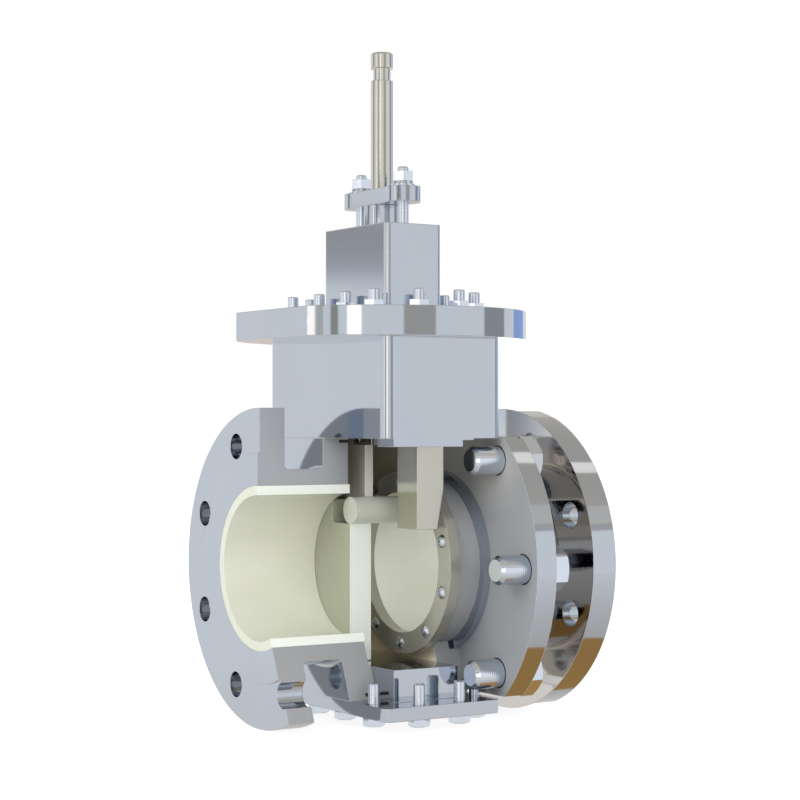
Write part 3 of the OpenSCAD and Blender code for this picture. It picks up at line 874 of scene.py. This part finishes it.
@dataclass
class Fasteners:
    """Studs and bolts with real threads, each set standing for its CAD node. Millimetres."""

    stud_d: float = 8.0
    stud_pitch: float = 1.0
    stud_cut: float = 0.06
    ear_d: float = 20.0
    ear_pitch: float = 1.5
    ear_cut: float = 0.04
    ear_chamfer: float = 2.5
    ear_ring: float = 104.0
    ear_angles: tuple[float, ...] = (45, 90, 135, -45, -90, -135)
    ear_under: float = 64.5
    ear_tip: float = 25.5
    ear_head: HexHead = field(default_factory=lambda: HexHead(30.0, 12.5))
    cover_head: HexHead = field(default_factory=lambda: HexHead(13.0, 5.3))
    cover_cut: float = 0.08
    cover_under: float = -99.7
    cover_tip: float = -76.0
    joint_low: float = 145.8
    joint_high: float = 190.7
    joint_chamfer: float = 0.6
    gland_low: float = 226.0
    gland_high: float = 279.0
    gland_pitch: float = 28.4
    wall_rows: tuple[float, ...] = (-56.4, -18.3, 18.3, 56.4)
    wall_row_x: float = 41.0
    wall_end: tuple[float, float] = (16.3, 74.6)
    into_head: float = 1.0

    def at(self, x: float, y: float, z: float = 0.0) -> Matrix:
        """Upright place at a point measured from the stem axis."""
        return Matrix.Translation((STEM_X + x, y, z))

    def wall_points(self) -> list[tuple[float, float]]:
        """Lists the twelve fasteners round the chamber wall, at bonnet and cover.

        Returns:
            Their centres, measured from the stem axis.
        """
        points = [(s * self.wall_row_x, y) for s in (-1, 1) for y in self.wall_rows]
        x, y = self.wall_end
        return points + [(s * x, t * y) for s in (-1, 1) for t in (-1, 1)]

    def joint_studs(self, bm: bmesh.types.BMesh) -> None:
        """Adds the studs of the bonnet joint.

        Args:
            bm: the mesh under construction.
        """
        stud = Thread(self.stud_d, self.stud_pitch, self.joint_low, self.joint_high,
                      self.stud_cut, chamfer=self.joint_chamfer, sides=16)
        for x, y in self.wall_points():
            stud.build(bm, self.at(x, y))

    def gland_studs(self, bm: bmesh.types.BMesh) -> None:
        """Adds the two studs of the gland.

        Args:
            bm: the mesh under construction.
        """
        stud = Thread(self.stud_d, self.stud_pitch, self.gland_low, self.gland_high,
                      self.stud_cut)
        for side in (-1, 1):
            stud.build(bm, self.at(0.0, side * self.gland_pitch))

    def cover_bolts(self, bm: bmesh.types.BMesh) -> None:
        """Adds the bolts of the bottom cover, heads down.

        Args:
            bm: the mesh under construction.
        """
        bolt = Thread(self.stud_d, self.stud_pitch, self.cover_under - self.into_head,
                      self.cover_tip, self.cover_cut)
        for x, y in self.wall_points():
            bolt.build(bm, self.at(x, y))
            down = self.at(x, y, self.cover_under) @ Matrix.Rotation(math.pi, 4, "X")
            self.cover_head.build(bm, down)

    def ear_bolts(self, bm: bmesh.types.BMesh) -> None:
        """Adds the large bolts through the ear flanges, heads on the outlet side.

        Args:
            bm: the mesh under construction.
        """
        bolt = Thread(self.ear_d, self.ear_pitch, self.ear_tip, self.ear_under + self.into_head,
                      self.ear_cut, chamfer=self.ear_chamfer, sides=32, steps=6)
        for angle in self.ear_angles:
            spot = self.at(0.0, 0.0) @ Matrix.Rotation(math.radians(angle), 4, "X") @ \
                Matrix.Translation((0, 0, self.ear_ring)) @ Matrix.Rotation(math.pi / 2, 4, "Y")
            bolt.build(bm, spot)
            self.ear_head.build(bm, spot @ Matrix.Translation((0, 0, self.ear_under)))

    def build(self) -> dict[str, bpy.types.Object]:
        """Builds the four sets.

        Returns:
            CAD node name to the piece that stands for it.
        """
        makers = {"joint_studs": self.joint_studs, "gland_studs": self.gland_studs,
                  "cover_bolts": self.cover_bolts, "ear_bolts": self.ear_bolts}
        made = {}
        for node, maker in makers.items():
            bm = bmesh.new()
            maker(bm)
            made[node] = make_piece(f"threaded_{node}", bm)
        return made

    def dress(self, palette: Palette) -> None:
        """Builds the sets, and puts each in the place of its node.

        Args:
            palette: the finishes.
        """
        for node, piece in self.build().items():
            palette.dress(piece, "bright_fastener")
            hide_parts(node)
            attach(piece, "valve")
            log.info("%s: %d faces", piece.name, len(piece.data.polygons))


@dataclass(frozen=True)
class Card:
    """A reflection card: part of a large ball round the valve, seen only in polished faces.

    Azimuths count from +X towards +Y and elevations from the horizon, in degrees. The colour
    runs from low to high, where 1 is the white of the background, or is low all over where
    there is no high.
    """

    name: str
    azimuths: tuple[float, float]
    elevations: tuple[float, float]
    low: Color
    high: Color | None = None
    distance: float = 4.2
    step: float = 5.0

    def spot(self, azimuth: float, elevation: float) -> Vector:
        """Finds a point of the card.

        Args:
            azimuth: its direction round the stem.
            elevation: its height above the horizon.

        Returns:
            The point in metres.
        """
        a, e = math.radians(azimuth), math.radians(elevation)
        away = Vector((math.cos(a) * math.cos(e), math.sin(a) * math.cos(e), math.sin(e)))
        return Vector((STEM_X * MM, 0.0, 0.0)) + away * self.distance

    def look(self) -> bpy.types.Material:
        """Makes the plain glow that runs from the low colour to the high one.

        Returns:
            The material, which no light is sampled from.
        """
        made = bpy.data.materials.new(self.name)
        made.use_nodes = True
        made.cycles.emission_sampling = "NONE"
        made.node_tree.nodes.clear()
        w = Wiring(made.node_tree)
        rise = w.split(w.node("ShaderNodeTexCoord").outputs["Generated"])[2]
        color = w.mix(rise, self.low, self.high or self.low)
        glow = w.node("ShaderNodeEmission", {"Color": color, "Strength": 1.0})
        w.close("ShaderNodeOutputMaterial", glow.outputs[0])
        return made

    def build(self) -> None:
        """Builds the card as a staged object, hidden from every ray but glossy ones."""
        (left, right), (foot, top) = self.azimuths, self.elevations
        across = max(1, round((right - left) / self.step))
        up = max(1, round((top - foot) / self.step))
        bm = bmesh.new()
        grid = [[bm.verts.new(self.spot(left + (right - left) * i / across,
                                        foot + (top - foot) * j / up))
                 for i in range(across + 1)] for j in range(up + 1)]
        for low, high in zip(grid, grid[1:]):
            for i in range(across):
                bm.faces.new((low[i], low[i + 1], high[i + 1], high[i]))
        made = add_mesh(self.name, bm)
        made.data.materials.append(self.look())
        for ray in ("camera", "diffuse", "transmission", "volume_scatter", "shadow"):
            setattr(made, f"visible_{ray}", False)


# Directions, distances and a tone that several cards share
ALL_ROUND = (-180, 180)
WALL = (-8, 17)
OUTER = 4.4
INNER = 4.0
DARK_FLAG: Color = (0.26, 0.27, 0.25)

CARDS = (
    Card("cornice", ALL_ROUND, (17, 21), (0.61, 0.58, 0.56), distance=OUTER),
    Card("frieze", ALL_ROUND, (21, 31), (0.81, 0.75, 0.68), (0.76, 0.71, 0.64), OUTER),
    Card("ceiling", ALL_ROUND, (31, 89), (0.64, 0.58, 0.50), (0.55, 0.51, 0.45), OUTER),
    Card("skylight", (-25, -14), (47, 54), (1.35, 1.23, 1.1)),
    Card("carpet", ALL_ROUND, (-89, -8), (0.51, 0.47, 0.40), (0.98, 0.96, 0.94), OUTER),
    Card("wooden_floor", (-38, 41), (-62, -44), (0.48, 0.26, 0.08), (0.48, 0.27, 0.09)),
    Card("front_flag", (-105, -80), WALL, (0.51, 0.48, 0.44), (0.59, 0.55, 0.49)),
    Card("side_flag", (-36, -12), WALL, (0.42, 0.43, 0.43)),
    Card("blue_screen", (3, 24), WALL, (0.39, 0.56, 0.95)),
    Card("left_flag", (-161, -155), WALL, (0.44, 0.41, 0.36)),
    Card("far_left_flag", (-173, -167), WALL, (0.69, 0.67, 0.60)),
    Card("left_softbox_face", (-148, -137), WALL, (2.2, 2.0, 1.8)),
    Card("far_left_softbox_face", (-179, -174), WALL, (2.0, 1.8, 1.6)),
    Card("right_softbox_face", (41, 54), (-26, 17), (1.8, 1.7, 1.5), (2.1, 1.9, 1.7)),
    Card("right_flag", (54, 76), (-30, 17), (0.67, 0.62, 0.56)),
    Card("rear_left_screen", (96, 150), (6.5, 7.4), (1.0, 1.0, 1.0), (0.54, 0.55, 0.58)),
    Card("rear_left_flag", (96, 150), (7.4, 9.3), (0.54, 0.55, 0.58), (0.45, 0.42, 0.38)),
    Card("rear_side_flag", (137, 152), (9.3, 17), (0.30, 0.31, 0.29)),
    Card("middle_left_flag", (-161, -135), (9.4, 11), DARK_FLAG, distance=INNER),
    Card("high_left_flag", (-152, -146), (11, 17), DARK_FLAG, distance=INNER),
)


@dataclass(frozen=True)
class Lamp:
    """One square soft lamp that looks at the valve. Metres and watts."""

    name: str
    at: tuple[float, float, float]
    size: float
    power: float
    color: Color = WHITE
    aim: tuple[float, float, float] = (STEM_X * MM, 0.0, 0.08)

    def build(self) -> None:
        """Hangs the lamp, which polished faces don't show."""
        data = bpy.data.lights.new(self.name, "AREA")
        data.size = self.size
        data.energy = self.power
        data.color = self.color
        made = add_object(self.name, data)
        made.visible_glossy = False
        made.location = self.at
        way = Vector(self.aim) - Vector(self.at)
        made.rotation_euler = way.to_track_quat("-Z", "Y").to_euler()


LAMPS = (
    Lamp("left_softbox", (-2.2, -0.6, 1.3), 1.6, 30.0, (0.94, 0.97, 1.0)),
    Lamp("front_softbox", (-0.9, -2.4, 0.6), 1.4, 22.0),
    Lamp("rear_softbox", (0.8, 1.9, 1.4), 1.4, 16.0),
    Lamp("outlet_softbox", (1.3, -0.7, 0.2), 0.8, 14.0),
)


@dataclass
class Studio:
    """Pale floor, soft lamps, and the camera of the photograph. Metres and degrees."""

    camera_at: tuple[float, float, float] = (-0.85913, -1.19850, 0.09892)
    heading: float = 57.953
    pitch: float = 0.692
    lens: float = 88.88
    sensor: float = 36.0
    view_end: float = 50.0
    floor_size: float = 12.0
    floor_gap: float = 0.0002
    floor_tone: Color = (0.50, 0.50, 0.50)
    floor_glow: float = 0.80
    floor_bounce: Color = (0.8, 0.8, 0.8)
    room_stops: tuple[tuple[float, float], ...] = (
        (0.0, 0.50), (0.5, 0.60), (0.62, 0.95), (1.0, 1.0))
    room_light: float = 0.75

    def camera(self) -> None:
        """Places the camera where the photograph was taken from."""
        data = bpy.data.cameras.new("camera")
        data.lens = self.lens
        data.sensor_width = self.sensor
        data.clip_end = self.view_end
        made = add_object("camera", data)
        made.location = self.camera_at
        made.rotation_euler = (math.radians(90.0 + self.pitch), 0.0,
                               math.radians(self.heading - 90.0))
        bpy.context.scene.camera = made

    @staticmethod
    def seen_directly(w: Wiring) -> Socket:
        """Finds the rays that show the background: from the camera, polish or glass.

        Args:
            w: wiring of the floor or the world.

        Returns:
            The mask of those rays.
        """
        path = w.node("ShaderNodeLightPath")
        shiny = w.math("MAXIMUM", path.outputs["Is Glossy Ray"],
                       path.outputs["Is Transmission Ray"])
        return w.math("MAXIMUM", path.outputs["Is Camera Ray"], shiny)

    def floor(self) -> None:
        """Lays the pale floor, which keeps the shadow and meets the white background."""
        bm = bmesh.new()
        bmesh.ops.create_grid(bm, x_segments=1, y_segments=1, size=self.floor_size / 2)
        made = add_mesh("floor", bm)
        made.location = (STEM_X * MM, 0.0, CAD_BOX[0].z - self.floor_gap)
        made.visible_glossy = False
        look = bpy.data.materials.new("pale_floor")
        look.use_nodes = True
        w = Wiring(look.node_tree)
        look.node_tree.nodes.clear()
        pale = w.node("ShaderNodeBsdfDiffuse", {"Color": (*self.floor_tone, 1.0)})
        glow = w.node("ShaderNodeEmission", {"Color": (*WHITE, 1.0),
                                             "Strength": self.floor_glow})
        seen = w.node("ShaderNodeAddShader", {0: pale.outputs[0], 1: glow.outputs[0]})
        plain = w.node("ShaderNodeBsdfDiffuse", {"Color": (*self.floor_bounce, 1.0)})
        pick = w.node("ShaderNodeMixShader", {0: self.seen_directly(w),
                                              1: plain.outputs[0], 2: seen.outputs[0]})
        w.close("ShaderNodeOutputMaterial", pick.outputs[0])
        made.data.materials.append(look)

    def sky(self) -> None:
        """Sets white where the background shows, and a soft grey room that lights the valve."""
        world = bpy.data.worlds.new("room")
        bpy.context.scene.world = world
        world.use_nodes = True
        w = Wiring(world.node_tree)
        world.node_tree.nodes.clear()
        up = w.split(w.node("ShaderNodeTexCoord").outputs["Generated"])[2]
        room = w.ramp(w.math("MULTIPLY_ADD", up, 0.5, 0.5), self.room_stops)
        light = w.node("ShaderNodeBackground", {"Color": room, "Strength": self.room_light})
        white = w.node("ShaderNodeBackground", {"Color": (*WHITE, 1.0), "Strength": 1.0})
        pick = w.node("ShaderNodeMixShader", {0: self.seen_directly(w),
                                              1: light.outputs[0], 2: white.outputs[0]})
        w.close("ShaderNodeOutputWorld", pick.outputs[0])

    def build(self) -> None:
        """Sets up camera, floor, room, cards and lamps."""
        self.camera()
        self.floor()
        self.sky()
        for item in (*CARDS, *LAMPS):
            item.build()


def main() -> None:
    """Builds the classes in order and reports each piece."""
    bpy.context.scene.view_settings.view_transform = "Standard"
    palette = Palette()
    dress_nodes(palette)
    Fasteners().dress(palette)
    Studio().build()


if __name__ == "__main__":
    main()
